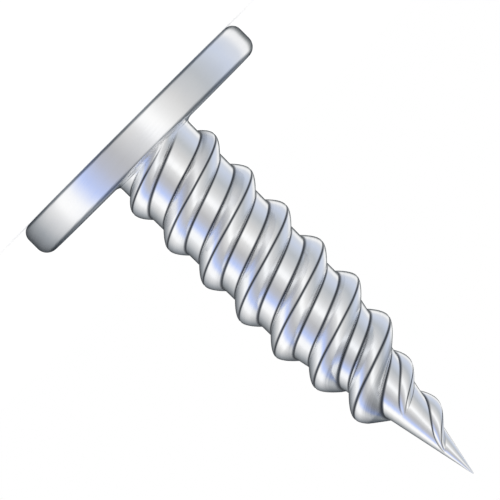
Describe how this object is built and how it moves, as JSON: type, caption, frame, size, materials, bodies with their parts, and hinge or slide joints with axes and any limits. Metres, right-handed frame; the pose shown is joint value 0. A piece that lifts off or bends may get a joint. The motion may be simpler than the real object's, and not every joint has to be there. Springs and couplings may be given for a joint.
{
  "type": "self-piercing screw",
  "caption": "Zinc-plated self-piercing sheet metal screw: flat pancake head with a cross recess, coarse right-hand thread over a tapering core, and a needle point.",
  "frame": {"origin": "centre of the flat outer face of the head, which the screw stands on", "axes": "+Z along the screw's axis to the point; the wings of the cross recess lie at 45 degrees to X and Y"},
  "size_m": [0.0126, 0.0126, 0.0206],
  "materials": {
    "zinc_plated_steel": "gloss"
  },
  "bodies": {
    "root": {"screw": "zinc_plated_steel"}
  },
  "joints": []
}
